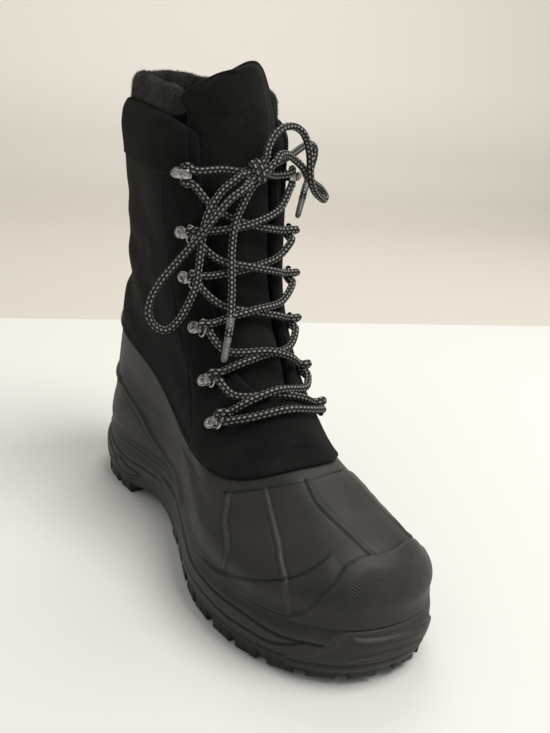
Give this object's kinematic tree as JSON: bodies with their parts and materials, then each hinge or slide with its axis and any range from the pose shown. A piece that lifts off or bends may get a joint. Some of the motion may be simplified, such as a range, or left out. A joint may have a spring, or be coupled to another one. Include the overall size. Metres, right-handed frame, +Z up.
{
  "type": "snow boot",
  "caption": "Laced winter pac boot for the left foot: rubber foot shell on a lugged sole, padded suede shaft, fleece collar, tall tongue, lace in rings and hooks.",
  "frame": {"origin": "on the floor, at the middle of the heel's central lug", "axes": "+Z up, toe along -Y, medial (big toe) side along -X"},
  "size_m": [0.1371, 0.3183, 0.2769],
  "materials": {
    "sole_rubber": "satin moulded",
    "shell_rubber": "satin moulded",
    "suede": "napped",
    "tongue_nylon": "woven, padded",
    "fleece": "brushed",
    "felt": "felted",
    "steel": "nickel plated",
    "lace_braid": "braided with light flecks",
    "lace_tag": "satin"
  },
  "bodies": {
    "root": {"aglet_lateral": "lace_tag", "aglet_medial": "lace_tag", "clip_lateral_1": "steel", "clip_lateral_2": "steel", "clip_lateral_3": "steel", "clip_lateral_4": "steel", "clip_lateral_5": "steel", "clip_medial_1": "steel", "clip_medial_2": "steel", "clip_medial_3": "steel", "clip_medial_4": "steel", "clip_medial_5": "steel", "collar": "fleece", "hook_lateral": "steel", "hook_medial": "steel", "insole": "felt", "lace_bar_bottom": "lace_braid", "lace_bar_top": "lace_braid", "lace_cross_1": "lace_braid", "lace_cross_2": "lace_braid", "lace_cross_3": "lace_braid", "lace_cross_4": "lace_braid", "lace_cross_5": "lace_braid", "lace_end_lateral": "lace_braid", "lace_end_medial": "lace_braid", "lace_knot": "lace_braid", "lace_loop_lateral": "lace_braid", "lace_loop_medial": "lace_braid", "outsole": "sole_rubber", "ring_lateral_1": "steel", "ring_lateral_2": "steel", "ring_lateral_3": "steel", "ring_lateral_4": "steel", "ring_lateral_5": "steel", "ring_medial_1": "steel", "ring_medial_2": "steel", "ring_medial_3": "steel", "ring_medial_4": "steel", "ring_medial_5": "steel", "tongue": "tongue_nylon", "upper_shaft": "suede", "upper_shell": "shell_rubber"}
  },
  "joints": []
}
